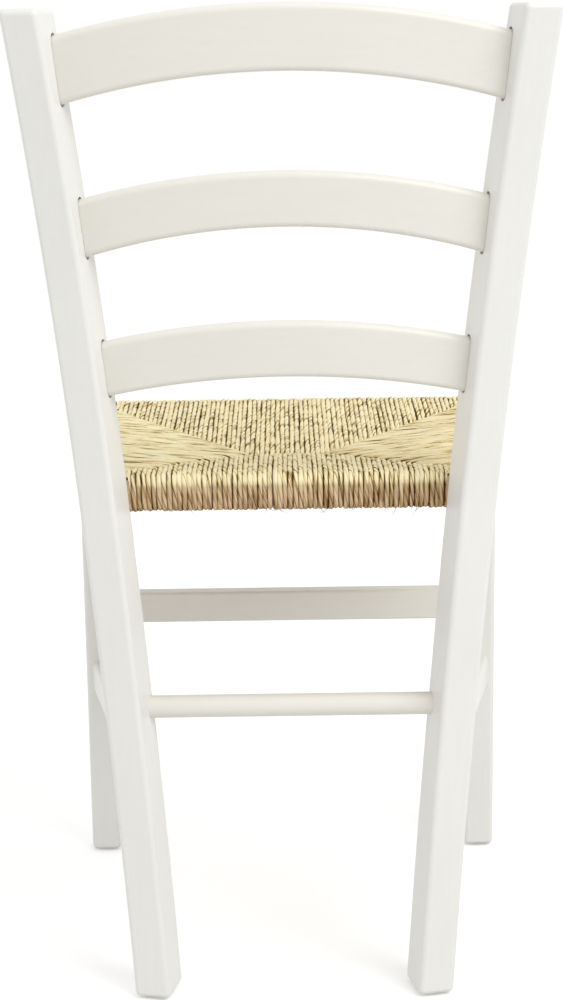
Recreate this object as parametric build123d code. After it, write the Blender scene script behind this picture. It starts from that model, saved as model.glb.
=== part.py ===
from build123d import *
import math
import os

# A ladder-back dining chair in millimetres: the floor is z = 0 and the sitter faces -Y.
# The left-hand pieces are modelled at +X, the sitter's left, and mirrored to the right.

# Levels above the floor
chair_height = 859.0
seat_height = 469.0
glide_height = 2.5

# Rear legs: one board each, sawn to a sabre curve, turned about the vertical and splayed
leg_board = 32.0
leg_depth = 44.0
leg_turn = 13.3
leg_splay = 4.4
rear_foot_spread = 284.0
knee_height = 460.0
knee_set_back = 9.0
knee_lean = 4.2
top_set_back = 72.0
leg_edge = 4.5

# Front legs: square, with straight outer and front faces, tapered to the foot on the other two
front_leg_spread = 421.0
front_leg_size = 36.0
front_foot_size = 30.0
front_leg_edge = 5.0
front_foot_edge = 4.0

# Back slats: bent to an arc in plan and sawn to an arch in elevation
slat_thickness = 12.0
slat_lean = 6.8
slat_edge = 5.0
slat_tenon = 15.0
slat_entry = 2.5
slat_shoulder = 3.0
top_slat_drop = 47.8
top_slat_tall = 56.0
top_slat_arch = 28.0
top_slat_crown = -2.8
top_slat_inset = 20.5
middle_slat_drop = 175.2
middle_slat_tall = 49.1
middle_slat_arch = 27.8
middle_slat_crown = -3.6
middle_slat_inset = 19.0
bottom_slat_drop = 294.0
bottom_slat_tall = 47.6
bottom_slat_arch = 20.0
bottom_slat_crown = -0.1
bottom_slat_inset = 23.0

# Stretchers
rod_diameter = 20.0
rod_height = 262.7
rod_inset = 33.5
rod_spigot = 14.0
front_stretcher_top = 279.0
front_stretcher_tall = 31.5
front_stretcher_deep = 20.0
front_tenon_tall = 21.0
front_tenon_deep = 10.0
side_stretcher_top = 209.0
side_stretcher_tall = 32.0
side_stretcher_wide = 19.0
side_stretcher_edge = 6.0
side_spigot = 12.0
stretcher_edge = 3.0
spigot_length = 16.0

# Seat: a rush cord woven over a frame of four rails that rises to the front
seat_depth = 373.0
seat_rake = 1.0
seat_front_overhang = 12.0
seat_side_overhang = 1.5
seat_rear_clear = 0.5
seat_corner = 18.0
seat_roll = 12.0
seat_dish = 7.0
seat_dish_rim = 26.0
rush_cord = 5.0
rush_clear = 0.3
rail_thick = 26.0
rail_round = 4.0
front_rail_wide = 38.0
side_rail_wide = 30.0
rear_rail_wide = 30.0
seam_from_rear = 128.0
seam_half = 33.0
seam_wide = 2.0
stuffing_thick = 8.0
stuffing_margin = 14.0
stuffing_taper = 40.0
leg_pin_diameter = 12.0
leg_pin_length = 40.0
rail_pin_diameter = 10.0
rail_pin_length = 36.0
front_spigot = 14.0

# Nail-on glides
glide_diameter = 12.0
glide_dome = 1.2
nail_diameter = 2.4
nail_length = 14.0

# Fits
fit_gap = 0.15
bore_end_gap = 1.0
slot_gap = 0.4
slot_end_gap = 1.6

# The rear leg's board: x runs to the back, y up the board, z out of the outer face
turn = math.radians(leg_turn)
splay = math.radians(leg_splay)
lean = math.radians(slat_lean)
to_back = Vector(math.sin(turn), math.cos(turn), 0)
outward = Vector(
    math.cos(turn) * math.cos(splay),
    -math.sin(turn) * math.cos(splay),
    -math.sin(splay),
)
board = Plane(origin=(rear_foot_spread / 2, 0, 0), x_dir=to_back, z_dir=outward)
board_spare = 2 * leg_board * math.tan(splay)
board_top = chair_height / math.cos(splay) + board_spare
knee = Vector(knee_set_back, knee_height)
knee_up = Vector(math.sin(math.radians(knee_lean)), math.cos(math.radians(knee_lean)))
inner_face = -leg_board


def back_edge(up):
    """How far back the sabre curve stands at a distance up the board: tangent arcs from the knee."""
    end = Vector(top_set_back, board_top) if up > knee.Y else Vector(0, -board_spare)
    square = Vector(knee_up.Y, -knee_up.X)
    chord = end - knee
    radius = chord.dot(chord) / (2 * chord.dot(square))
    centre = knee + square * radius
    reach = math.sqrt(radius**2 - (up - centre.Y) ** 2)
    return centre.X - math.copysign(reach, radius)


def up_board(height, across):
    """Distance up the board of a point at a height, where across is its offset from the outer face."""
    return (height + across * math.sin(splay)) / math.cos(splay)


def on_board(inset, height, across):
    """A point of the leg, inset from its back edge, at a height, across the board's thickness."""
    up = up_board(height, across)
    return board.from_local_coords((back_edge(up) - inset, up, across))


def rear_leg_blank():
    """The sawn board, cut level at foot and top, with every edge eased."""
    edges = []
    for inset in (0, leg_depth):
        start = knee - Vector(inset, 0)
        foot = Vector(-inset, -board_spare)
        top = Vector(top_set_back - inset, board_top)
        edges += [
            TangentArc(start, foot, tangent=knee_up * -1),
            TangentArc(start, top, tangent=knee_up),
        ]
    edges += [Line(edges[0] @ 1, edges[2] @ 1), Line(edges[1] @ 1, edges[3] @ 1)]
    profile = board * make_face(edges)
    blank = extrude(profile, amount=leg_board, dir=-outward)
    reach = 4 * chair_height
    level = Pos(0, 0, (chair_height + glide_height) / 2)
    blank &= level * Box(reach, reach, chair_height - glide_height)
    long_edges = blank.edges().filter_by(lambda edge: edge.length > 3 * leg_depth)
    ends = blank.faces().sort_by(Axis.Z)
    return fillet(long_edges + ends[0].edges() + ends[-1].edges(), leg_edge)


def mirrored(piece):
    """The right-hand twin of a left-hand piece."""
    return mirror(piece, about=Plane.YZ)


def rod_along(start, end, diameter):
    """A round rod between two points."""
    along = end - start
    return extrude(Plane(origin=start, z_dir=along) * Circle(diameter / 2), amount=along.length)


rear_blank = rear_leg_blank()

# Front leg: its outer side, its front and its centre come from the seat's front edge
seat_rear_y = on_board(leg_depth, seat_height, inner_face).Y - seat_rear_clear
seat_front_y = seat_rear_y - seat_depth
front_leg_x = front_leg_spread / 2
front_leg_y = seat_front_y + seat_front_overhang
rail_top = seat_height - rush_cord
rail_bottom = rail_top - rail_thick
seat_mid_z = (rail_top + rail_bottom) / 2

# The seat frame is laid out level, then tipped about its joint with the rear legs
rail_seat = on_board(leg_depth, seat_mid_z, -leg_board / 2)
at_rail_seat = Pos(0, rail_seat.Y, rail_seat.Z)
tip = at_rail_seat * Rot(-seat_rake, 0, 0) * at_rail_seat.inverse()
front_leg_top = rail_bottom + (rail_seat.Y - seat_front_y) * math.tan(math.radians(seat_rake))


def front_section(size, height):
    """The leg's square section at a height, held to the outer and front faces."""
    centre = Pos(front_leg_x - size / 2, front_leg_y + size / 2, height)
    return centre * RectangleRounded(size, size, front_leg_edge)


foot_section = front_section(front_foot_size, glide_height)
front_blank = loft([foot_section, front_section(front_leg_size, front_leg_top)])
front_blank = fillet(front_blank.faces().sort_by(Axis.Z)[0].edges(), front_foot_edge)
front_blank -= tip * Pos(0, 0, rail_bottom + seat_depth) * Box(4 * front_leg_x, 4 * seat_depth, 2 * seat_depth)
front_top_x = front_leg_x - front_leg_size / 2
front_top_y = front_leg_y + front_leg_size / 2
front_pin = Pos(front_top_x, front_top_y, seat_mid_z)


def front_leg_size_at(height):
    """Width of the tapered front leg at a height."""
    share = (height - glide_height) / (front_leg_top - glide_height)
    return front_foot_size + share * (front_leg_size - front_foot_size)


# Back slats: each enters its slots square to the legs' inner faces
slat_slots = []


def slat_piece(drop, tall, arch, crown, inset):
    """A slat: an arched outline in elevation, on a board bent to an arc in plan, tenoned at both ends."""
    middle_inset = inset + slat_thickness / 2
    seat = on_board(middle_inset, chair_height - drop, inner_face)
    up_leg = board.x_dir * math.sin(lean) + board.y_dir * math.cos(lean)
    rise = up_leg - outward * (up_leg.X / outward.X)
    side_lean = math.atan2(rise.Y, rise.Z)
    forward = Vector(0, -math.cos(side_lean), math.sin(side_lean))
    face = Plane(origin=(0, seat.Y, seat.Z), x_dir=(1, 0, 0), z_dir=forward)
    square_in = math.atan2(outward.dot(forward), outward.X)
    radius = seat.X / math.sin(square_in)
    bulge = radius * (1 - math.cos(square_in))

    end = seat.X + slat_tenon
    fall = (end / seat.X) ** 2 - 1
    peak = arch + crown
    low_end = -tall / 2 - arch * fall
    high_end = tall / 2 - peak * fall
    lower = ThreePointArc((-end, low_end), (0, arch - tall / 2), (end, low_end))
    upper = ThreePointArc((-end, high_end), (0, peak + tall / 2), (end, high_end))
    sides = [Line(lower @ 0, upper @ 0), Line(lower @ 1, upper @ 1)]
    outline = face * make_face([lower, upper] + sides)
    body = extrude(outline, amount=2 * bulge + 2 * slat_thickness, both=True)

    bend = Plane(
        origin=face.from_local_coords((0, -2 * tall, radius - bulge)),
        x_dir=(1, 0, 0),
        z_dir=face.y_dir,
    )
    ring = Circle(radius + slat_thickness / 2) - Circle(radius - slat_thickness / 2)
    body &= bend * extrude(ring, amount=4 * tall)
    body = body.solids().sort_by(Axis.Y)[-1]
    body = fillet(body.edges().filter_by(lambda edge: edge.length > seat.X), slat_edge)

    up = up_board(chair_height - drop, inner_face)
    at_slot = board * Pos(back_edge(up) - middle_inset, up, inner_face) * Rot(0, 0, 90 - slat_lean)
    beyond = at_slot * Pos(0, 0, slat_entry + leg_depth) * Box(4 * tall, 4 * tall, 2 * leg_depth)
    body -= [beyond, mirrored(beyond)]
    tenon_face = SlotOverall(tall - 2 * slat_shoulder, slat_thickness - 2 * slot_gap)
    tenon = at_slot * Pos(0, 0, -slat_entry) * extrude(tenon_face, amount=slat_tenon + slat_entry)
    slot_face = SlotOverall(tall + 2 * slot_end_gap, slat_thickness + 2 * slot_gap)
    slot_depth = slat_tenon + bore_end_gap
    slat_slots.append(at_slot * extrude(slot_face, amount=slot_depth, both=True))
    return body + [tenon, mirrored(tenon)]


top_slat = slat_piece(top_slat_drop, top_slat_tall, top_slat_arch, top_slat_crown, top_slat_inset)
middle_slat = slat_piece(
    middle_slat_drop, middle_slat_tall, middle_slat_arch, middle_slat_crown, middle_slat_inset
)
bottom_slat = slat_piece(
    bottom_slat_drop, bottom_slat_tall, bottom_slat_arch, bottom_slat_crown, bottom_slat_inset
)

# Rear stretcher: a round rod shouldered against the rear legs' inner faces
rod_end = on_board(rod_inset, rod_height, inner_face)
spigot_line = Vector(spigot_length, 0, 0)
rod_centre = Vector(0, rod_end.Y, rod_end.Z)
half_rod = rod_along(rod_centre, rod_end + spigot_line / 2, rod_diameter) - rear_blank
half_rod += rod_along(rod_centre, rod_end + spigot_line, rod_spigot)
rear_stretcher = half_rod + mirrored(half_rod)
rod_bore = rod_along(
    rod_centre,
    rod_end + spigot_line + Vector(bore_end_gap, 0, 0),
    rod_spigot + 2 * fit_gap,
)

# Front stretcher: a flat rail tenoned into the front legs
front_stretcher_z = front_stretcher_top - front_stretcher_tall / 2
front_size_there = front_leg_size_at(front_stretcher_z)
front_stretcher_y = front_leg_y + front_size_there / 2
front_face_x = front_leg_x - front_size_there
at_front_stretcher = Pos(0, front_stretcher_y, front_stretcher_z)
front_stretcher = at_front_stretcher * Box(
    2 * front_face_x + front_foot_size, front_stretcher_deep, front_stretcher_tall
)
front_stretcher = fillet(front_stretcher.edges().filter_by(Axis.X), stretcher_edge)
front_stretcher -= [front_blank, mirrored(front_blank)]
front_tenons_long = 2 * (front_face_x + spigot_length)
front_stretcher += at_front_stretcher * Box(front_tenons_long, front_tenon_deep, front_tenon_tall)
front_mortises = at_front_stretcher * Box(
    front_tenons_long + 2 * bore_end_gap,
    front_tenon_deep + 2 * fit_gap,
    front_tenon_tall + 2 * fit_gap,
)

# Side stretchers: rounded rails with a turned spigot at each end
side_z = side_stretcher_top - side_stretcher_tall / 2
side_size_there = front_leg_size_at(side_z)
side_front = Vector(front_leg_x - side_size_there / 2, front_leg_y + side_size_there, side_z)
side_rear = on_board(leg_depth, side_z, -leg_board / 2)
side_along = (side_front - side_rear).normalized()
side_section = RectangleRounded(side_stretcher_wide, side_stretcher_tall, side_stretcher_edge)
side_start = side_rear - side_along * front_foot_size / 2
side_end = side_front + side_along * front_foot_size / 2
side_plane = Plane(origin=side_start, x_dir=side_along.cross(Vector(0, 0, 1)), z_dir=side_along)
side_stretcher = extrude(side_plane * side_section, amount=(side_end - side_start).length)
side_stretcher -= [front_blank, rear_blank]
side_stretcher = side_stretcher.solids().sort_by(SortBy.VOLUME)[-1]
side_reach = side_along * spigot_length
side_stretcher += rod_along(side_rear - side_reach, side_front + side_reach, side_spigot)
side_bore_reach = side_along * (spigot_length + bore_end_gap)
side_bore = rod_along(
    side_rear - side_bore_reach,
    side_front + side_bore_reach,
    side_spigot + 2 * fit_gap,
)

# Seat frame: the side rails run from the rear legs' front faces to the front corners
frame_front_y = seat_front_y + rush_cord
frame_rear_y = seat_rear_y - rush_cord
frame_front_x = front_leg_x + seat_side_overhang - rush_cord
side_run = Vector(frame_front_x - side_rail_wide / 2, frame_front_y) - Vector(rail_seat.X, rail_seat.Y)
side_slope = side_run.X / side_run.Y


def side_line(y, out):
    """The x of a line beside the side rail's centre, out from it, at a distance y along the seat."""
    return rail_seat.X + side_slope * (y - rail_seat.Y) + out


def seat_outline(out, front, rear):
    """The seat's trapezium in plan, from a front y to a rear y, out from the side rails' centres."""
    corners = [
        (side_line(front, out), front),
        (side_line(rear, out), rear),
        (-side_line(rear, out), rear),
        (-side_line(front, out), front),
    ]
    return make_face(Polyline(*corners, close=True))


def front_corners(sketch):
    """The two corners of a seat outline nearest the front."""
    return sketch.vertices().sort_by(Axis.Y)[:2]


half_rail = side_rail_wide / 2
frame_end_y = rail_seat.Y + leg_depth / 2
frame_plan = seat_outline(half_rail, frame_front_y, frame_end_y)
frame_plan = fillet(front_corners(frame_plan), seat_corner - rush_cord)
frame_slab = extrude(Pos(0, 0, rail_bottom) * frame_plan, amount=rail_thick)
rims = [face.outer_wire().edges() for face in frame_slab.faces().filter_by(Axis.Z)]
frame_slab = fillet(
    [edge for rim in rims for edge in rim if edge.center().Y < frame_end_y - 1],
    rail_round,
)
between_rails = Pos(0, 0, rail_bottom) * extrude(
    seat_outline(-half_rail, frame_front_y - rush_cord, frame_end_y + rush_cord),
    amount=rail_thick,
)
tall_box = Box(4 * front_leg_x, 4 * seat_depth, rail_thick)
behind_front = Pos(0, frame_front_y + front_rail_wide + 2 * seat_depth, seat_mid_z) * tall_box
left_half = Pos(2 * front_leg_x, 0, seat_mid_z) * Box(4 * front_leg_x, 8 * seat_depth, rail_thick)
upper_half = Pos(0, 0, rail_thick / 2)

# The front corners are halved: the side rail is on top, and the front leg's spigot pins the two
front_strip = frame_slab - behind_front
side_strip = (frame_slab - between_rails) & left_half
front_lap = front_strip & (upper_half * tall_box.moved(Pos(0, front_leg_y, seat_mid_z)))
past_leg_face = Plane(origin=rail_seat + to_back * leg_edge, z_dir=to_back)
beside_leg = past_leg_face * Pos(0, 0, leg_depth) * Box(4 * leg_depth, 4 * leg_depth, 2 * leg_depth)
seat_side_rail = side_strip - [tip.inverse() * rear_blank, beside_leg] - (front_strip - front_lap)
seat_front_rail = front_strip - [seat_side_rail, mirrored(seat_side_rail)]

# Rear rail: fits between the side rails and is pinned to them
rear_plan = seat_outline(-half_rail, frame_rear_y - rear_rail_wide, frame_rear_y)
seat_rear_rail = extrude(Pos(0, 0, rail_bottom) * rear_plan, amount=rail_thick)
seat_rear_rail = fillet(seat_rear_rail.edges().filter_by(Axis.X), rail_round)

rails = [seat_front_rail, seat_rear_rail, seat_side_rail, mirrored(seat_side_rail)]

# Pins of the seat frame
leg_pin_half = Vector(0, leg_pin_length / 2, 0)
leg_pin = rod_along(rail_seat - leg_pin_half, rail_seat + leg_pin_half, leg_pin_diameter)
leg_pin_bore = rod_along(
    rail_seat - leg_pin_half - Vector(0, bore_end_gap, 0),
    rail_seat + leg_pin_half + Vector(0, bore_end_gap, 0),
    leg_pin_diameter + 2 * fit_gap,
)
rear_rail_y = frame_rear_y - rear_rail_wide / 2
rail_pin_seat = Vector(side_line(rear_rail_y, -half_rail), rear_rail_y, seat_mid_z)
rail_pin_half = Vector(rail_pin_length / 2, 0, 0)
rail_pin = rod_along(rail_pin_seat - rail_pin_half, rail_pin_seat + rail_pin_half, rail_pin_diameter)
rail_pin_bore = rod_along(
    rail_pin_seat - rail_pin_half - Vector(bore_end_gap, 0, 0),
    rail_pin_seat + rail_pin_half + Vector(bore_end_gap, 0, 0),
    rail_pin_diameter + 2 * fit_gap,
)
seat_dowels = Compound([leg_pin, mirrored(leg_pin), rail_pin, mirrored(rail_pin)])
front_spigot_bore = front_pin * Cylinder(front_spigot / 2 + fit_gap, 2 * rail_thick)
seat_side_rail -= [leg_pin_bore, rail_pin_bore, front_spigot_bore]
seat_front_rail -= [front_spigot_bore, mirrored(front_spigot_bore)]
seat_rear_rail -= [rail_pin_bore, mirrored(rail_pin_bore)]

# Rush seat: a slab rolled over the rails, dished to the seams where the four panels meet
rush_out = half_rail + rush_cord
rush_thick = rail_thick + 2 * rush_cord
rush_plan = fillet(front_corners(seat_outline(rush_out, seat_front_y, seat_rear_y)), seat_corner)
rush_bottom = rail_bottom - rush_cord
rush_seat = extrude(Pos(0, 0, rush_bottom) * rush_plan, amount=rush_thick)
rush_rims = [face.outer_wire().edges() for face in rush_seat.faces().filter_by(Axis.Z)]
rush_seat = fillet([edge for rim in rush_rims for edge in rim], seat_roll)
seam_y = seat_rear_y - seam_from_rear
dish_rim = seat_outline(rush_out - seat_dish_rim, seat_front_y + seat_dish_rim, seat_rear_y - seat_dish_rim)
dish_seam = make_face(
    Polyline(
        (seam_half, seam_y - seam_wide / 2),
        (seam_half, seam_y + seam_wide / 2),
        (-seam_half, seam_y + seam_wide / 2),
        (-seam_half, seam_y - seam_wide / 2),
        close=True,
    )
)
dish_floor = seat_height - seat_dish
upper_dish = loft([Pos(0, 0, seat_height) * dish_rim, Pos(0, 0, dish_floor) * dish_seam], ruled=True)
lower_dish = mirror(upper_dish, about=Plane.XY.offset(seat_mid_z))

# Stuffing: a pad of loose straw between the layers of each panel, thinning to its edges
inner_front_y = frame_front_y + front_rail_wide
inner_rear_y = frame_rear_y - rear_rail_wide
rim_points = [
    Vector(side_line(inner_front_y, -half_rail), inner_front_y),
    Vector(side_line(inner_rear_y, -half_rail), inner_rear_y),
]
apex = Vector(seam_half, seam_y)


def across(point):
    """The mirror image of a plan point."""
    return Vector(-point.X, point.Y)


def stuffing_pad(*corners):
    """A flat pad inside a panel's plan, clear of the rails and the seams."""
    panel = make_face(Polyline(*corners, close=True))
    plan = offset(panel, amount=-stuffing_margin, kind=Kind.INTERSECTION)
    return Pos(0, 0, seat_mid_z) * extrude(plan, amount=stuffing_thick / 2, both=True, taper=stuffing_taper)


side_pad = stuffing_pad(rim_points[0], rim_points[1], apex)
front_pad = stuffing_pad(rim_points[0], apex, across(apex), across(rim_points[0]))
rear_pad = stuffing_pad(rim_points[1], apex, across(apex), across(rim_points[1]))
stuffing_pads = [side_pad, mirrored(side_pad), front_pad, rear_pad]
seat_stuffing = Compound([solid for pad in stuffing_pads for solid in pad.solids()])

# Joints cut into the legs
rear_leg = rear_blank - (slat_slots + [rod_bore, side_bore, tip * leg_pin_bore])
front_leg = front_blank - [front_mortises, side_bore]
front_leg += tip * front_pin * Cylinder(front_spigot / 2, rail_thick)


# Glides: a domed disc on a nail, driven into the middle of each foot
def glide_at(x, y):
    """A glide under a foot centred on x, y."""
    rim = glide_diameter / 2
    nail = nail_diameter / 2
    profile = Polyline(
        (0, 0),
        (rim - glide_dome, 0),
        (rim, glide_dome),
        (rim, glide_height),
        (nail, glide_height),
        (nail, glide_height + nail_length),
        (0, glide_height + nail_length),
        close=True,
    )
    return Pos(x, y, 0) * revolve(Plane.XZ * make_face(profile), Axis.Z)


def nail_bore(x, y):
    """The hole that a glide's nail makes in the foot."""
    depth = nail_length + bore_end_gap
    return Pos(x, y, glide_height + depth / 2) * Cylinder(nail_diameter / 2, depth)


rear_foot = on_board(leg_depth / 2, glide_height, -leg_board / 2)
front_foot = Vector(front_leg_x - front_foot_size / 2, front_leg_y + front_foot_size / 2)
glide_rear = glide_at(rear_foot.X, rear_foot.Y)
glide_front = glide_at(front_foot.X, front_foot.Y)
rear_leg -= nail_bore(rear_foot.X, rear_foot.Y)
front_leg -= nail_bore(front_foot.X, front_foot.Y)

# The rush closes round the rails, the stuffing and the legs
leg_room = [offset(blank, rush_clear) for blank in (rear_blank, front_blank)]
rush_seat -= [upper_dish, lower_dish]
rush_seat -= rails + stuffing_pads
rush_seat = tip * rush_seat - (leg_room + [mirrored(room) for room in leg_room])

pieces = {
    "rear_leg_left": rear_leg,
    "rear_leg_right": mirrored(rear_leg),
    "front_leg_left": front_leg,
    "front_leg_right": mirrored(front_leg),
    "top_slat": top_slat,
    "middle_slat": middle_slat,
    "bottom_slat": bottom_slat,
    "rear_stretcher": rear_stretcher,
    "front_stretcher": front_stretcher,
    "side_stretcher_left": side_stretcher,
    "side_stretcher_right": mirrored(side_stretcher),
    "seat_front_rail": tip * seat_front_rail,
    "seat_rear_rail": tip * seat_rear_rail,
    "seat_side_rail_left": tip * seat_side_rail,
    "seat_side_rail_right": mirrored(tip * seat_side_rail),
    "seat_dowels": tip * seat_dowels,
    "seat_stuffing": tip * seat_stuffing,
    "rush_seat": rush_seat,
    "glide_rear_left": glide_rear,
    "glide_rear_right": mirrored(glide_rear),
    "glide_front_left": glide_front,
    "glide_front_right": mirrored(glide_front),
}

# The origin is on the floor, under the middle of the chair's outline
outline = Compound([piece.moved(Location()) for piece in pieces.values()]).bounding_box()
to_origin = Pos(0, -outline.center().Y, 0)
os.makedirs("parts", exist_ok=True)
for name, piece in pieces.items():
    export_step(to_origin * piece, f"parts/{name}.step")
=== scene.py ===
import math

import bpy
import numpy as np
from mathutils import Euler, Matrix, Vector


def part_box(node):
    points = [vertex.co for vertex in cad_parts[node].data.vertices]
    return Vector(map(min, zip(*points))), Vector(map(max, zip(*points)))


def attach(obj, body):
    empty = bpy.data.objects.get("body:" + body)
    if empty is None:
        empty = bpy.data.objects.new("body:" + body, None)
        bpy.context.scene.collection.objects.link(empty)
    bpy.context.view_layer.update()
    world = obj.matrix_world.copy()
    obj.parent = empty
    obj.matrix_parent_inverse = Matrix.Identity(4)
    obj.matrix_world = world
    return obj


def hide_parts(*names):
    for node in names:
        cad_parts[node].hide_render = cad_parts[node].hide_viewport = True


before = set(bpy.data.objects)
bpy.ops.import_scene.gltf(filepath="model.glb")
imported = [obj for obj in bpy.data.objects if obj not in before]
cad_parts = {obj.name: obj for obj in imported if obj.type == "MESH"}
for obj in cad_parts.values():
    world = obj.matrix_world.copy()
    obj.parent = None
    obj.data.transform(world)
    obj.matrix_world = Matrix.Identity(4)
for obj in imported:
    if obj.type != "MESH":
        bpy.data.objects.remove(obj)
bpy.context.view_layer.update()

# Rear legs: each is one beech board, sawn to a sabre curve from the foot to the top of the back, with eased
# edges and routed slots. It is sprayed with a satin off-white lacquer, through which a trace of the grain
# still shows.
upright_white = (0.83, 0.825, 0.785, 1.0)
upright_grain = (40.0, 40.0, 3.0)


def feed(tree, socket, value):
    """Links a socket from another node's output, or sets it to a constant."""
    if isinstance(value, bpy.types.NodeSocket):
        tree.links.new(value, socket)
    else:
        socket.default_value = value


def add_node(tree, kind, **inputs):
    """A shader node with its input sockets fed."""
    node = tree.nodes.new(kind)
    for name, value in inputs.items():
        feed(tree, node.inputs[name], value)
    return node


def add_math(tree, operation, *values):
    """A Math node's output for one, two or three values or sockets."""
    node = tree.nodes.new("ShaderNodeMath")
    node.operation = operation
    for socket, value in zip(node.inputs, values):
        feed(tree, socket, value)
    return node.outputs[0]


def add_scaled(tree, vector, scale):
    """A vector multiplied, axis by axis, by another one."""
    node = tree.nodes.new("ShaderNodeVectorMath")
    node.operation = "MULTIPLY"
    feed(tree, node.inputs[0], vector)
    feed(tree, node.inputs[1], scale)
    return node.outputs[0]


def new_group(name, inputs, outputs):
    """A shader node group with named sockets: gives its tree, what it is given and what it puts out."""
    group = bpy.data.node_groups.new(name, "ShaderNodeTree")
    for label, kind, value in inputs:
        socket = group.interface.new_socket(name=label, in_out="INPUT", socket_type=kind)
        socket.default_value = value
    for label, kind in outputs:
        group.interface.new_socket(name=label, in_out="OUTPUT", socket_type=kind)
    given = group.nodes.new("NodeGroupInput").outputs
    result = group.nodes.new("NodeGroupOutput").inputs
    return group, given, result


def lacquer_group():
    """Sprayed lacquer: the white times a tone that drifts with the grain and the film, and a faint bump.

    The grain is noise stretched along the wood, the film is broad noise, and the peel of the spray is
    fine noise. Grain and peel raise the bump, and the film sets the roughness.
    """
    group, given, result = new_group(
        "Lacquer over grain",
        [("Grain", "NodeSocketVector", upright_grain), ("White", "NodeSocketColor", upright_white)],
        [
            ("Colour", "NodeSocketColor"),
            ("Roughness", "NodeSocketFloat"),
            ("Normal", "NodeSocketVector"),
        ],
    )
    least_tone, grain_tone, film_tone = 0.94, 0.055, 0.05
    least_rough, film_rough = 0.30, 0.12
    grain_height = 0.5
    place = group.nodes.new("ShaderNodeTexCoord").outputs["Object"]
    along = add_scaled(group, place, given["Grain"])
    grain = add_node(group, "ShaderNodeTexNoise", Vector=along, Scale=6.0, Detail=5.0, Roughness=0.6)
    film = add_node(group, "ShaderNodeTexNoise", Vector=place, Scale=11.0, Detail=3.0)
    peel = add_node(group, "ShaderNodeTexNoise", Vector=place, Scale=420.0, Detail=2.0)
    tone = add_math(group, "MULTIPLY_ADD", grain.outputs["Fac"], grain_tone, least_tone)
    tone = add_math(group, "MULTIPLY_ADD", film.outputs["Fac"], film_tone, tone)
    colour = group.nodes.new("ShaderNodeVectorMath")
    colour.operation = "SCALE"
    group.links.new(given["White"], colour.inputs[0])
    group.links.new(tone, colour.inputs["Scale"])
    rough = add_math(group, "MULTIPLY_ADD", film.outputs["Fac"], film_rough, least_rough)
    height = add_math(group, "MULTIPLY_ADD", grain.outputs["Fac"], grain_height, peel.outputs["Fac"])
    bump = add_node(group, "ShaderNodeBump", Height=height, Strength=0.06, Distance=0.0006)
    group.links.new(colour.outputs[0], result["Colour"])
    group.links.new(rough, result["Roughness"])
    group.links.new(bump.outputs[0], result["Normal"])
    return group


lacquer_film = lacquer_group()


def new_material(name):
    """A named material with its node tree and shader."""
    material = bpy.data.materials.new(name)
    material.use_nodes = True
    return material, material.node_tree, material.node_tree.nodes["Principled BSDF"]


def add_group(tree, group, **values):
    """The outputs of a node group, placed in a material with its own values."""
    node = tree.nodes.new("ShaderNodeGroup")
    node.node_tree = group
    for name, value in values.items():
        node.inputs[name].default_value = value
    return node.outputs


def lacquer(name, grain, white):
    """Satin lacquer of a given white, over wood whose grain is stretched by a scale for each axis."""
    material, tree, shader = new_material(name)
    film = add_group(tree, lacquer_film, Grain=grain, White=white)
    tree.links.new(film["Colour"], shader.inputs["Base Color"])
    tree.links.new(film["Roughness"], shader.inputs["Roughness"])
    tree.links.new(film["Normal"], shader.inputs["Normal"])
    shader.inputs["Specular IOR Level"].default_value = 0.4
    return material


def dress(material, *nodes):
    """Gives CAD nodes a material."""
    for node in nodes:
        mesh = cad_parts[node].data
        mesh.materials.clear()
        mesh.materials.append(material)


upright_lacquer = lacquer("Lacquer, upright grain", upright_grain, upright_white)
dress(upright_lacquer, "rear_leg_left", "rear_leg_right")

# Back slats: three beech boards, steam-bent in plan and sawn to an arch, tenoned dry into the legs' slots.
# The same lacquer looks warmer on them, and the grain runs across the back.
cross_white = (0.80, 0.778, 0.71, 1.0)
cross_grain = (3.0, 40.0, 40.0)
cross_lacquer = lacquer("Lacquer, cross grain", cross_grain, cross_white)
dress(cross_lacquer, "top_slat", "middle_slat", "bottom_slat")

# Rear stretcher: a turned beech rod between the rear legs, lacquered like the slats. Each end is cut down to
# a spigot, with a shoulder that stops against the leg's inner face.
dress(cross_lacquer, "rear_stretcher")

# Front legs: square beech legs with straight outer and front faces, tapered to the foot on the other two.
# The top is turned to a spigot that goes up through the seat frame's corner and pins its rails.
dress(upright_lacquer, "front_leg_left", "front_leg_right")

# Front stretcher: a flat beech rail between the front legs, lacquered like the slats. A tenon at each end
# fits a mortise in the leg.
dress(cross_lacquer, "front_stretcher")

# Side stretchers: beech rails with rounded edges that tie the front legs to the rear legs. Each end is
# turned to a spigot that fits a bore in the leg, and the grain runs from front to back.
depth_grain = (40.0, 3.0, 40.0)
depth_lacquer = lacquer("Lacquer, front-to-back grain", depth_grain, upright_white)
dress(depth_lacquer, "side_stretcher_left", "side_stretcher_right")

# Seat frame: four bare beech rails, halved at the front corners and pinned, that the rush is woven over.
# Only a thin strip of their ends shows, between the last cord and the rear legs.
beech_streak = (0.40, 0.26, 0.13, 1.0)
beech_pale = (0.62, 0.45, 0.26, 1.0)


def add_ramp(tree, value, *stops):
    """A colour ramp over (position, colour) stops."""
    node = add_node(tree, "ShaderNodeValToRGB", Fac=value)
    elements = node.color_ramp.elements
    while len(elements) < len(stops):
        elements.new(1.0)
    for element, (position, colour) in zip(elements, stops):
        element.position = position
        element.color = colour
    return node.outputs["Color"]


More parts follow.
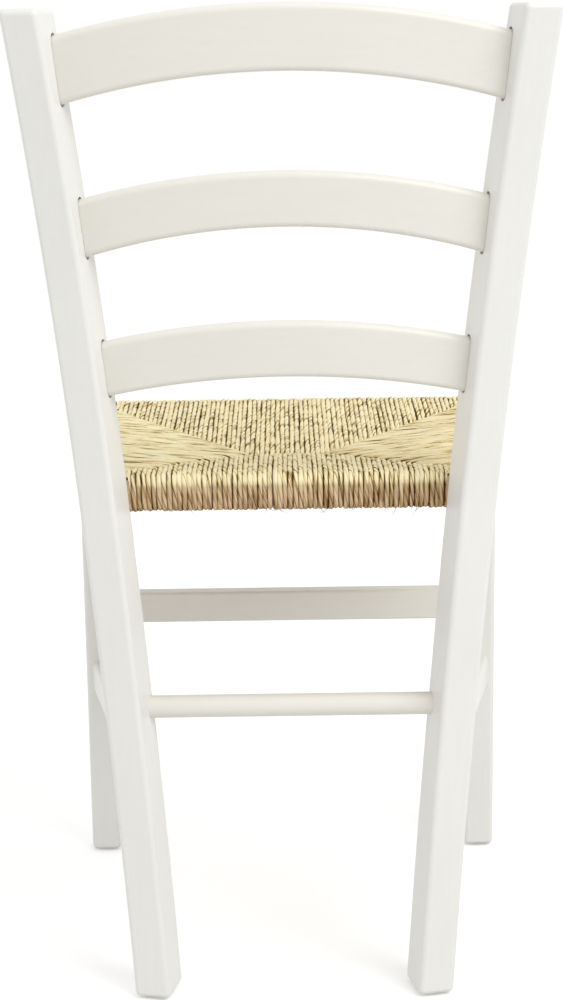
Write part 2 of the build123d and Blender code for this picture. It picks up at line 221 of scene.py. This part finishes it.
def beech_group():
    """Sanded beech: noise stretched along the grain, ramped from the streaks' brown to the pale wood."""
    group, given, result = new_group(
        "Sanded beech",
        [("Grain", "NodeSocketVector", cross_grain)],
        [("Colour", "NodeSocketColor")],
    )
    place = group.nodes.new("ShaderNodeTexCoord").outputs["Object"]
    along = add_scaled(group, place, given["Grain"])
    streak = add_node(group, "ShaderNodeTexNoise", Vector=along, Scale=7.0, Detail=6.0)
    colour = add_ramp(group, streak.outputs["Fac"], (0.3, beech_streak), (0.7, beech_pale))
    group.links.new(colour, result["Colour"])
    return group


sanded_beech = beech_group()


def bare_wood(name, grain):
    """Sanded beech with its grain along one axis."""
    material, tree, shader = new_material(name)
    wood = add_group(tree, sanded_beech, Grain=grain)
    tree.links.new(wood["Colour"], shader.inputs["Base Color"])
    shader.inputs["Roughness"].default_value = 0.6
    return material


cross_beech = bare_wood("Beech, cross grain", cross_grain)
depth_beech = bare_wood("Beech, front-to-back grain", depth_grain)
dress(cross_beech, "seat_front_rail", "seat_rear_rail", "seat_dowels")
dress(depth_beech, "seat_side_rail_left", "seat_side_rail_right")

# Straw stuffing: short dry straws that are pushed in between the upper and the lower layer of the rush as
# the seat is woven. They lie loose and level, in every direction, and keep the panels full.
straw_count = 1800
straw_width = 0.0026
straw_thick = 0.4 * straw_width
straw_length = (0.035, 0.070)
straw_sides = 4
straw_steps = 3
straw_seed = 7
stuffing_depth = 0.005
stuffing_wide, stuffing_taper = 0.82, 0.14
stuffing_long = 0.95
stuffing_low, stuffing_high = (np.array(corner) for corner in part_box("seat_stuffing"))
seat_rake = math.radians(1.0)
seat_pivot = np.mean(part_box("seat_dowels"), axis=0)


def tipped(grid):
    """Points of the level seat, turned about its joint with the rear legs so that the front rises."""
    across, back, up = np.moveaxis(grid - seat_pivot, -1, 0)
    turned = [
        across,
        back * math.cos(seat_rake) + up * math.sin(seat_rake),
        up * math.cos(seat_rake) - back * math.sin(seat_rake),
    ]
    return seat_pivot + np.stack(turned, -1)


def strand_mesh(name, rings, uv, **values):
    """Separate closed strands: rings is (strands, steps, sides, 3), and uv has one more side, past the seam.

    Quads join each ring to the next one and wrap round the strand, and a polygon closes each of its ends.
    """
    strands, steps, sides = rings.shape[:3]
    points = np.arange(strands * steps * sides).reshape(strands, steps, sides)
    corners = np.arange(strands * steps * (sides + 1)).reshape(strands, steps, sides + 1)

    def loops(grid):
        """The corners of every face in turn: the strands' quads, then their end polygons."""
        sheet = [grid[:, :-1, :-1], grid[:, 1:, :-1], grid[:, 1:, 1:], grid[:, :-1, 1:]]
        ends = [grid[:, 0, :sides], grid[:, -1, sides - 1 :: -1][:, :sides]]
        return np.concatenate([np.stack(sheet, -1).ravel(), np.stack(ends, 1).ravel()])

    quads = strands * (steps - 1) * sides
    starts = np.concatenate([4 * np.arange(quads), 4 * quads + sides * np.arange(2 * strands)])
    order = loops(np.concatenate([points, points[:, :, :1]], axis=2))
    mesh = bpy.data.meshes.new(name)
    mesh.vertices.add(points.size)
    mesh.vertices.foreach_set("co", rings.astype(np.float32).ravel())
    mesh.loops.add(order.size)
    mesh.loops.foreach_set("vertex_index", order.astype(np.int32))
    mesh.polygons.add(starts.size)
    mesh.polygons.foreach_set("loop_start", starts.astype(np.int32))
    mesh.polygons.foreach_set("use_smooth", np.ones(starts.size, dtype=bool))
    layer = mesh.uv_layers.new(name="Length and turn")
    layer.uv.foreach_set("vector", uv.reshape(-1, 2)[loops(corners)].astype(np.float32).ravel())
    for key, value in values.items():
        attribute = mesh.attributes.new(key, "FLOAT", "POINT")
        attribute.data.foreach_set("value", np.broadcast_to(value, points.shape).astype(np.float32).ravel())
    mesh.update(calc_edges=True)
    piece = bpy.data.objects.new(name, mesh)
    bpy.context.scene.collection.objects.link(piece)
    return piece


def straw_pad():
    """Flattened straws at seeded places inside the stuffing's box, narrowed to the back like the seat.

    Each is a straight run of rings about its centre, level, at its own heading.
    """
    rng = np.random.default_rng(straw_seed)
    middle = (stuffing_low + stuffing_high) / 2
    middle[2] = seat_pivot[2]
    half = (stuffing_high - stuffing_low) / 2
    half[2] = stuffing_depth / 2
    spread = rng.uniform(-1.0, 1.0, (straw_count, 3))
    wide = stuffing_wide - stuffing_taper * spread[:, 1]
    shares = np.stack([wide, np.full(straw_count, stuffing_long), np.ones(straw_count)], -1)
    centre = middle + spread * half * shares
    heading = rng.uniform(0.0, math.pi, straw_count)
    level = np.zeros(straw_count)
    along = np.stack([np.cos(heading), np.sin(heading), level], -1)[:, None, None]
    beside = np.stack([-np.sin(heading), np.cos(heading), level], -1)[:, None, None]
    length = rng.uniform(*straw_length, straw_count)[:, None]
    run = (length * np.linspace(-0.5, 0.5, straw_steps))[:, :, None]
    around = np.linspace(-math.pi, math.pi, straw_sides + 1)
    ring = around[:-1, None]
    upright = np.array([0.0, 0.0, 0.5 * straw_thick])
    rings = centre[:, None, None] + along * run[..., None]
    rings = rings + beside * (0.5 * straw_width * np.sin(ring)) + upright * np.cos(ring)
    uv = np.stack(np.broadcast_arrays(run, around / (2.0 * math.pi)), -1)
    tone = rng.uniform(0.0, 1.0, straw_count)[:, None, None]
    # The straws take the full pale colour, which is partly painted light, and none of the painted flank
    # shade.
    return strand_mesh("straw_stuffing", tipped(rings), uv, tone=tone, faded=1.0, fold=0.0)


def add_mix(tree, factor, first, second):
    """A colour mixed from the first to the second by a factor."""
    node = tree.nodes.new("ShaderNodeMix")
    node.data_type = "RGBA"
    for index, value in ((0, factor), (6, first), (7, second)):
        feed(tree, node.inputs[index], value)
    return node.outputs[2]


def add_attribute(tree, name):
    """The value of a mesh attribute."""
    node = tree.nodes.new("ShaderNodeAttribute")
    node.attribute_name = name
    return node.outputs["Fac"]


def strand_noise(tree, detail, rough=0.5, **axes):
    """Noise whose axes are each a value of the strand times how finely the noise divides it."""
    scaled = {axis: add_math(tree, "MULTIPLY", value, scale) for axis, (value, scale) in axes.items()}
    place = add_node(tree, "ShaderNodeCombineXYZ", **scaled)
    noise = add_node(
        tree,
        "ShaderNodeTexNoise",
        Vector=place.outputs[0],
        Scale=1.0,
        Detail=detail,
        Roughness=rough,
    )
    return noise.outputs["Fac"]


cord_twist = 0.045
cord_plies = 3


def rush_material():
    """Twisted dry rush: leaf fibres that spiral round the cord, with painted shade in its creases and on its
    flanks.

    The shade is fine noise along the spiral plus broad noise from leaf to leaf, less painted shade in the
    creases between the plies and in the gaps beside the neighbouring cords. Two colour ramps over it, a
    browner one for fresh rush and for the shaded flanks and underside, and a paler one for sunned rush and
    for the lit top, are mixed by the strand's share of the pale colour, which is partly sun bleaching and
    partly painted light from above.
    """
    material, tree, shader = new_material("Twisted rush")
    fibre_shade, fibre_base = 3.2, -1.50
    leaf_shade, crease_shade, fold_shade = 1.3, -0.42, -0.72
    gap_shade_contrast, gap_shade_base = 8.0, -3.1
    crease_width = 0.45
    fibre_height = 0.8
    tone = add_attribute(tree, "tone")
    uv = tree.nodes.new("ShaderNodeUVMap")
    uv.uv_map = "Length and turn"
    split = add_node(tree, "ShaderNodeSeparateXYZ", Vector=uv.outputs[0])
    length = split.outputs["X"]
    spiral = add_math(tree, "MULTIPLY_ADD", length, 1.0 / cord_twist, split.outputs["Y"])
    fibre = strand_noise(tree, detail=5.0, rough=0.68, X=(length, 20.0), Y=(spiral, 24.0), Z=(tone, 60.0))
    leaf = strand_noise(tree, detail=2.0, X=(length, 26.0), Y=(spiral, 2.0), Z=(tone, 90.0))
    wound = add_math(tree, "COSINE", add_math(tree, "MULTIPLY", spiral, cord_plies * math.pi))
    ply = add_math(tree, "ABSOLUTE", wound)
    # Painted shade in the creases between the plies.
    crease_shade_mask = add_math(tree, "SUBTRACT", 1.0, add_math(tree, "POWER", ply, crease_width))
    # Painted shade in the gaps beside the neighbouring cords, on the flanks that the mesh marks, broken into
    # dashes by noise.
    gap_shade_noise = strand_noise(tree, detail=1.0, X=(length, 60.0), Y=(tone, 70.0))
    gap_shade_dashes = add_math(tree, "MULTIPLY_ADD", gap_shade_noise, gap_shade_contrast, gap_shade_base)
    fold = add_math(tree, "MULTIPLY", add_attribute(tree, "fold"), gap_shade_dashes)
    shade = add_math(tree, "MULTIPLY_ADD", fibre, fibre_shade, fibre_base)
    shade = add_math(tree, "MULTIPLY_ADD", leaf, leaf_shade, shade)
    shade = add_math(tree, "MULTIPLY_ADD", crease_shade_mask, crease_shade, shade)
    shade = add_math(tree, "MULTIPLY_ADD", fold, fold_shade, shade)
    # A browner ramp for fresh rush and the shaded flanks and underside, and a paler one for sunned rush and
    # the lit top: partly real colour, partly painted light and shade.
    shaded_and_fresh = add_ramp(
        tree,
        shade,
        (0.05, (0.10, 0.045, 0.008, 1.0)),
        (0.28, (0.37, 0.225, 0.10, 1.0)),
        (0.58, (0.54, 0.37, 0.20, 1.0)),
        (1.0, (0.80, 0.62, 0.40, 1.0)),
    )
    lit_and_sunned = add_ramp(
        tree,
        shade,
        (0.05, (0.10, 0.05, 0.006, 1.0)),
        (0.22, (0.57, 0.37, 0.10, 1.0)),
        (0.36, (0.94, 0.745, 0.36, 1.0)),
        (0.56, (1.0, 0.915, 0.62, 1.0)),
    )
    colour = add_mix(tree, add_attribute(tree, "faded"), shaded_and_fresh, lit_and_sunned)
    tree.links.new(colour, shader.inputs["Base Color"])
    height = add_math(tree, "MULTIPLY_ADD", fibre, fibre_height, ply)
    bump = add_node(tree, "ShaderNodeBump", Height=height, Strength=0.8, Distance=0.0008)
    tree.links.new(bump.outputs[0], shader.inputs["Normal"])
    shader.inputs["Roughness"].default_value = 0.70
    shader.inputs["Specular IOR Level"].default_value = 0.04
    return material


rush = rush_material()
stuffing = straw_pad()
stuffing.data.materials.append(rush)
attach(stuffing, "root")
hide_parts("seat_stuffing")

# Rush seat: one long cord of twisted rush, woven over the frame in four panels. Each turn goes over a rail,
# under it and back to the seam, where the next panel's turn crosses it.
seat_low, seat_high = (np.array(corner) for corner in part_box("rush_seat"))
rail_low, rail_high = (np.array(corner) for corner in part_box("seat_side_rail_left"))
leg_low, leg_high = (np.array(corner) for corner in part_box("front_leg_left"))
seat_thick = 0.0358
rail_wide = 0.030
corner_round = 0.018
corner_start = 0.0075
seam_from_rear = 0.128
seam_half = 0.033
seam_lap = 0.003
seam_dive, dive_length = 0.0045, 0.005
dish_depth = 0.007
dish_rim = 0.026
edge_gap = 0.0003
front_y, rear_y = seat_low[1], seat_high[1] - edge_gap
seam_y = rear_y - seam_from_rear
seat_middle = seat_pivot[2]
cord_layer = seat_high[2] - rail_high[2]
front_half = seat_high[0]
side_slope = (front_half - (rail_low[0] + rail_wide + cord_layer)) / (front_y - rail_high[1])

cord_radius = 0.0025
cord_size, cord_size_spread = 0.92, 0.16
cord_sides = 8
cord_steps = np.linspace(0.0, 1.0, 51)
cord_waves, cord_wave_depth = 70.0, 0.0002
cord_slack = 0.0009
cord_scatter = 0.00012
sway_waves, sway_depth = (18.0, 45.0), 0.00028
twist_spread = (0.7, 1.4)
# How sharply the pale top colour gives way down the roll: partly sun bleaching, partly painted light from
# above.
lit_top_contrast, lit_top_base = 3.0, -0.3
# How closely the painted shade keeps to the cord's flanks.
fold_sharp = 4
roll_half = seat_thick / 2 - cord_radius
roll_deep = 0.010
roll_square = 0.5
roll_begins, roll_ends = 0.44, 0.80
leg_clear, leg_gap, leg_give = 0.001, 0.0003, 0.05
leg_centre = (leg_low + leg_high) / 2
leg_half = (leg_high - leg_low) / 2 + leg_clear
leg_top = seat_middle - seat_thick / 2 + cord_layer


def side_x(y):
    """Half-width of the seat at y: a straight taper, less the sag of a quarter circle at the front."""
    straight = front_half + side_slope * (y - front_y)
    into = np.clip(front_y + corner_round - y, 0.0, corner_round)
    return straight - (corner_round - np.sqrt(corner_round**2 - into**2))


def front_edge(x):
    """The y of the seat's front edge at x: straight, with the sag of a quarter circle at each corner."""
    into = np.clip(np.abs(x) - (front_half - corner_round), 0.0, corner_round)
    return front_y + corner_round - np.sqrt(corner_round**2 - into**2)


def cord_run(reach, deepest, seed, lift=0.0):
    """Paths of cords over a rail, one for each reach from the edge to the seam.

    A path starts at the seam, runs out on top, rolls round the rail on a squared half ellipse and runs back
    below. Both runs sink in proportion to the distance past the rim, and each end dives between the layers.
    lift brings the lower run nearer to the rail. Gives the distance in from the edge, the height, the length
    along the cord and how far round the rail it is.
    """
    top = np.clip(cord_steps / roll_begins, 0.0, 1.0)
    roll = np.clip((cord_steps - roll_begins) / (roll_ends - roll_begins), 0.0, 1.0)
    under = np.clip((cord_steps - roll_ends) / (1.0 - roll_ends), 0.0, 1.0)
    deep = np.clip(reach - cord_radius, seam_lap, roll_deep)[:, None]
    run = np.clip(reach + seam_lap - cord_radius, 2.0 * seam_lap, None)[:, None] - deep
    out = np.clip(np.sin(math.pi * roll), 0.0, 1.0) ** roll_square
    into = cord_radius + deep * (1.0 - out) + run * (1.0 - top + under)
    upper = np.sign(np.cos(math.pi * roll)) * np.abs(np.cos(math.pi * roll)) ** roll_square
    sink = dish_depth * np.clip((into - dish_rim) / (deepest - dish_rim), 0.0, 1.0)
    past_rail = np.clip((reach[:, None] - rail_wide) / rail_wide, 0.0, 1.0)
    from_seam = (reach[:, None] + seam_lap - into) / dive_length
    dive = seam_dive * past_rail * np.exp(-(from_seam**2))
    rng = np.random.default_rng(seed)
    phase = rng.uniform(0.0, 2.0 * math.pi, (len(reach), 1))
    slack = cord_slack * rng.uniform(0.0, 1.0, (len(reach), 1)) ** 2
    lump = cord_wave_depth * np.sin(into * cord_waves + phase) - slack
    drawn_up = lift * np.clip(-upper, 0.0, 1.0)
    height = seat_middle + upper * (roll_half - sink - dive + np.minimum(lump, 0.0) - drawn_up)
    step_in = np.diff(into, prepend=into[:, :1])
    step_up = np.diff(height, prepend=height[:, :1])
    length = np.cumsum(np.hypot(step_in, step_up), axis=1)
    return into, height, length, roll


def cord_panel(name, paths, place, hand, twist, seed, flat=0.0, lit_and_bleached=1.0):
    """Cords along planar paths: a ring round each step of the path, a little larger or smaller on each cord.

    place takes the distance in from the edge and the offset across the cords to x, y in plan, and hand is -1
    where that mirrors them, so that the rings turn the other way and the faces still point out. twist is the
    cords' share of the usual twist, flat the share of their thickness that is pressed out of them under the
    rail, and the last argument the share of the pale colour on their top, which is partly sun bleaching and
    partly painted light from above; a share below 1 darkens the panel's top with painted shade. Over a front
    leg, a cord is held above the leg's top.
    """
    into, height, length, roll = paths
    rng = np.random.default_rng(seed)
    cords = len(into)
    phase = rng.uniform(0.0, 2.0 * math.pi, (cords, 1, 1))
    length = twist * length * rng.uniform(*twist_spread, (cords, 1))
    tone = rng.uniform(0.0, 1.0, (cords, 1, 1))
    sway = sway_depth * np.sin(into * rng.uniform(*sway_waves, (cords, 1)) + phase[:, :, 0])
    sway = sway + cord_scatter * rng.standard_normal((cords, 1))
    around = hand * np.linspace(-math.pi, math.pi, cord_sides + 1)
    ring = around[:-1]
    radius = cord_radius * (cord_size + cord_size_spread * (tone - 0.5))
    upright = np.cos(math.pi * roll)[:, None]
    out_in = -radius * np.cos(ring) * np.sin(math.pi * roll)[:, None]
    out_up = radius * np.cos(ring) * upright * (1.0 - flat * np.clip(-upright, 0.0, 1.0))
    x, y = place(into[:, :, None] + out_in, sway[:, :, None] + radius * np.sin(ring))
    z = height[:, :, None] + out_up
    over_leg = (np.abs(np.abs(x) - leg_centre[0]) < leg_half[0]) & (np.abs(y - leg_centre[1]) < leg_half[1])
    held_up = leg_top + leg_gap + leg_give * (z - leg_top)
    z = np.where(over_leg, np.maximum(z, held_up), z)
    rings = tipped(np.stack(np.broadcast_arrays(x, y, z), -1))
    turn = around / (2.0 * math.pi) + phase / (2.0 * math.pi)
    uv = np.stack(np.broadcast_arrays(length[:, :, None], turn), -1)
    # The pale colour on top of the rail, giving way to the browner one down the roll and underneath: partly
    # sun bleaching, partly painted light from above.
    faded = lit_and_bleached * np.clip(lit_top_contrast * np.cos(math.pi * roll) + lit_top_base, 0.0, 1.0)[None, :, None]
    # Painted shade on the cord's flanks, where it lies against its neighbours.
    fold = np.sin(ring) ** fold_sharp
    piece = strand_mesh(name, rings, uv, tone=tone, faded=faded, fold=fold)
    piece.data.materials.append(rush)
    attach(piece, "root")
    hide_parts("rush_seat")


def evenly(low, high, pitch):
    """Cord centres from low to high at the nearest pitch that divides the distance."""
    return np.linspace(low, high, round((high - low) / pitch) + 1)


# Front panel: rush cords that run back from the front rail to the diagonal seams and, in the middle, to the
# centre seam. They are wrapped side by side over the rail, a little wider apart than the others.
front_pitch = 0.0046
front_x = evenly(-front_half + corner_start, front_half - corner_start, front_pitch)
front_share = np.clip((front_half - np.abs(front_x)) / (front_half - seam_half), 0.0, 1.0)
front_reach = front_y + front_share * (seam_y - front_y) - front_edge(front_x)


def front_place(into, off):
    """Plan of the front panel: straight back from the front edge."""
    return front_x[:, None, None] + off, front_edge(front_x)[:, None, None] + into


front_paths = cord_run(front_reach, seam_y - front_y, seed=11)
cord_panel("rush_front", front_paths, front_place, hand=1.0, twist=1.0, seed=12)

# Side panels: rush cords that run in from the side rails to the seams. The rear ones fan round, so that the
# last lies along the rear leg's turned front face. The right panel's top is darker and browner than the
# left's:
# painted shade.
cord_pitch = 0.0044
last_cord_gap = 0.0014
side_twist = 0.35
leg_turn = math.radians(13.3)
fan_start, fan_width = 0.075, 0.031
rear_half = side_x(np.array(rear_y))
rear_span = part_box("seat_rear_rail")[1][0] - cord_radius
side_y = evenly(front_y + corner_start, rear_y - cord_radius - last_cord_gap, cord_pitch)
front_part = (side_y - front_y) / (seam_y - front_y)
rear_part = (rear_y - side_y) / (rear_y - seam_y)
seam_x = np.where(
    side_y < seam_y,
    front_half + front_part * (seam_half - front_half),
    np.minimum(rear_half + rear_part * (seam_half - rear_half), rear_span + cord_radius),
)
side_reach = side_x(side_y) - seam_x
side_deepest = side_x(np.array(seam_y)) - seam_half
fan = math.tan(leg_turn) * np.clip((side_y - fan_start) / (rear_y - fan_start), 0.0, 1.0) ** 2
fan_from = rear_half - fan_width


def side_place(hand):
    """Plan of the left or the right panel: hand is 1 or -1."""

    def place(into, off):
        """Straight in from the side, and forward by the fan's slope from where the fan begins."""
        x = side_x(side_y)[:, None, None] - into
        y = side_y[:, None, None] + off - fan[:, None, None] * np.clip(x - fan_from, 0.0, None)
        return hand * x, y

    return place


# The right panel takes less of the pale top colour: painted shade.
for side_name, hand, lit_and_bleached, seed in (("rush_left", 1.0, 1.0, 21), ("rush_right", -1.0, 0.75, 31)):
    side_paths = cord_run(side_reach, side_deepest, seed)
    cord_panel(side_name, side_paths, side_place(hand), hand, side_twist, seed + 1, lit_and_bleached=lit_and_bleached)

# Rear panel: short rush cords between the rear legs, wrapped over the rear rail and run to the seams. They
# are drawn close together and pressed flat under the rail.
rear_narrowing = 0.012
rear_lift = 0.0008
rear_flat = 0.4
rear_x = evenly(-rear_span, rear_span, cord_pitch)
rear_share = np.clip((rear_half - np.abs(rear_x)) / (rear_half - seam_half), 0.0, 1.0)
rear_reach = rear_share * seam_from_rear
rear_drawn = np.interp(cord_steps, (roll_begins, roll_ends, 1.0), (0.0, 1.0, 0.0))
rear_spread = 1.0 - rear_narrowing * rear_drawn[:, None]


def rear_place(into, off):
    """Plan of the rear panel: straight forward from the rear edge, drawn to the middle under the rail."""
    return rear_x[:, None, None] * rear_spread + off, rear_y - into


rear_paths = cord_run(rear_reach, seam_from_rear, seed=41, lift=rear_lift)
cord_panel("rush_rear", rear_paths, rear_place, hand=-1.0, twist=1.0, seed=42, flat=rear_flat)

# Loose fibres: frayed ends of leaf, left where the cord was twisted and joined. They stand out from the
# cords of the rear edge, most of them under it.
fibre_count = 90
fibre_seed = 51
fibre_width = 0.0007
fibre_length = (0.003, 0.009)
fibre_sides = 3
fibre_steps = 5
fibre_taper = 0.7
fibre_bend = 0.5
fibre_lean = 0.6
fibre_back = 0.25
fibre_arc = (0.35, 0.95)
fibre_span = 0.93 * rear_span
fibre_sunk = 0.3 * cord_radius
# The fibres' share of the pale top colour, which is partly sun bleaching and partly painted light.
fibre_faded = 0.4


def loose_fibres():
    """Tapered strands from seeded places on the rear edge, curving aside as the square of the length."""
    rng = np.random.default_rng(fibre_seed)
    angle = math.pi * rng.uniform(*fibre_arc, fibre_count)
    start = np.stack(
        [
            rng.uniform(-fibre_span, fibre_span, fibre_count),
            rear_y - cord_radius - roll_deep * (1.0 - np.sin(angle)),
            seat_middle + (roll_half - rear_lift) * np.cos(angle) - fibre_sunk,
        ],
        -1,
    )
    lean = rng.normal(0.0, fibre_lean, fibre_count)
    reach = rng.uniform(*fibre_length, fibre_count)
    level = np.zeros(fibre_count)
    out = np.stack([np.sin(lean), level + fibre_back, -np.cos(lean)], -1)
    beside = np.stack([np.cos(lean), level, np.sin(lean)], -1)
    over = np.cross(out, beside)
    run = np.linspace(0.0, 1.0, fibre_steps)[:, None]
    bend = (fibre_bend * reach * np.sign(lean))[:, None, None] * beside[:, None]
    path = start[:, None] + (out * reach[:, None])[:, None] * run + bend * run**2
    around = np.linspace(-math.pi, math.pi, fibre_sides + 1)
    ring = around[:-1, None]
    turned = over[:, None] * np.cos(ring) + beside[:, None] * np.sin(ring)
    thick = 0.5 * fibre_width * (1.0 - fibre_taper * run)
    rings = path[:, :, None] + thick[:, :, None] * turned[:, None]
    length = (reach[:, None] * run[:, 0])[:, :, None]
    uv = np.stack(np.broadcast_arrays(length, around / (2.0 * math.pi)), -1)
    tone = rng.uniform(0.0, 1.0, (fibre_count, 1, 1))
    return strand_mesh("rush_fibres", tipped(rings), uv, tone=tone, faded=fibre_faded, fold=0.0)


fibres = loose_fibres()
fibres.data.materials.append(rush)
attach(fibres, "root")

# Glides: grey-brown discs, moulded in plastic on a steel nail. One is driven into the middle of each foot
# and keeps it off the floor.
glide_dark = (0.16, 0.14, 0.12, 1.0)
glide_pale = (0.24, 0.21, 0.18, 1.0)
glide_plastic, glide_tree, glide_shader = new_material("Glide plastic")
glide_place = glide_tree.nodes.new("ShaderNodeTexCoord").outputs["Object"]
glide_noise = add_node(glide_tree, "ShaderNodeTexNoise", Vector=glide_place, Scale=900.0, Detail=2.0)
glide_colour = add_ramp(glide_tree, glide_noise.outputs["Fac"], (0.3, glide_dark), (0.7, glide_pale))
glide_tree.links.new(glide_colour, glide_shader.inputs["Base Color"])
glide_shader.inputs["Roughness"].default_value = 0.5
dress(glide_plastic, "glide_rear_left", "glide_rear_right", "glide_front_left", "glide_front_right")

# Studio: a white floor that keeps the chair's shadow, and an even white surround. A large soft light stands
# high on the side that the picture shows as right, and a weak one low on the other side.
floor_half = 30.0
floor_reflects = 0.72
floor_seen_more = 0.20
floor_seen_glow = 0.26
surround_light = 0.81
light_size = 2.0
chair_middle = Vector((0.0, 0.0, 0.45))
white = (1.0, 1.0, 1.0, 1.0)


def background_rays(tree):
    """1 for the rays that show the background: from the camera, off gloss or through glass."""
    rays = tree.nodes.new("ShaderNodeLightPath").outputs
    seen = add_math(tree, "MAXIMUM", rays["Is Camera Ray"], rays["Is Glossy Ray"])
    return add_math(tree, "MAXIMUM", seen, rays["Is Transmission Ray"])


def soft_light(name, watts, place):
    """A round soft light, turned to the middle of the chair."""
    lamp = bpy.data.lights.new(name, "AREA")
    lamp.shape = "DISK"
    lamp.size = light_size
    lamp.energy = watts
    light = bpy.data.objects.new(name, lamp)
    light.location = place
    light.rotation_euler = (chair_middle - Vector(place)).to_track_quat("-Z", "Y").to_euler()
    bpy.context.scene.collection.objects.link(light)


floor_mesh = bpy.data.meshes.new("floor")
floor_signs = ((-1, -1), (1, -1), (1, 1), (-1, 1))
floor_mesh.from_pydata([(x * floor_half, y * floor_half, 0.0) for x, y in floor_signs], [], [(0, 1, 2, 3)])
floor = bpy.data.objects.new("floor", floor_mesh)
bpy.context.scene.collection.objects.link(floor)
floor_paint, floor_tree, floor_shader = new_material("White floor")
floor_shader.inputs["Roughness"].default_value = 1.0
floor_shader.inputs["Specular IOR Level"].default_value = 0.0
floor_shader.inputs["Emission Color"].default_value = white
floor_seen = background_rays(floor_tree)
floor_white = add_math(floor_tree, "MULTIPLY_ADD", floor_seen, floor_seen_more, floor_reflects)
floor_glow = add_math(floor_tree, "MULTIPLY", floor_seen, floor_seen_glow)
floor_tree.links.new(floor_white, floor_shader.inputs["Base Color"])
floor_tree.links.new(floor_glow, floor_shader.inputs["Emission Strength"])
floor_mesh.materials.append(floor_paint)

world = bpy.data.worlds.new("Studio")
world.use_nodes = True
bpy.context.scene.world = world
sky = world.node_tree
backdrop = sky.nodes["Background"]
backdrop.inputs["Color"].default_value = white
strength = add_math(sky, "MULTIPLY_ADD", background_rays(sky), 1.0 - surround_light, surround_light)
sky.links.new(strength, backdrop.inputs["Strength"])

soft_light("key", watts=38.0, place=(-1.5, 1.7, 2.5))
soft_light("fill", watts=5.0, place=(2.3, 1.3, 0.9))
bpy.context.scene.view_settings.view_transform = "Standard"

# Camera: two metres behind the chair, at nearly the height of its back. It looks down on the seat, with the
# picture's slight roll and framing.
camera_place = (0.0, 1.9906, 0.8372)
look_down = math.radians(12.8)
picture_roll = math.radians(0.78)
camera_data = bpy.data.cameras.new("camera")
camera_data.sensor_width = 36.0
camera_data.lens = 79.06
camera_data.shift_x = -0.0070
camera_data.shift_y = 0.0326
camera = bpy.data.objects.new("camera", camera_data)
facing = Euler((math.pi / 2 - look_down, 0.0, math.pi)).to_matrix()
rolled = facing @ Matrix.Rotation(-picture_roll, 3, "Z")
camera.matrix_world = Matrix.Translation(camera_place) @ rolled.to_4x4()
bpy.context.scene.collection.objects.link(camera)
bpy.context.scene.camera = camera
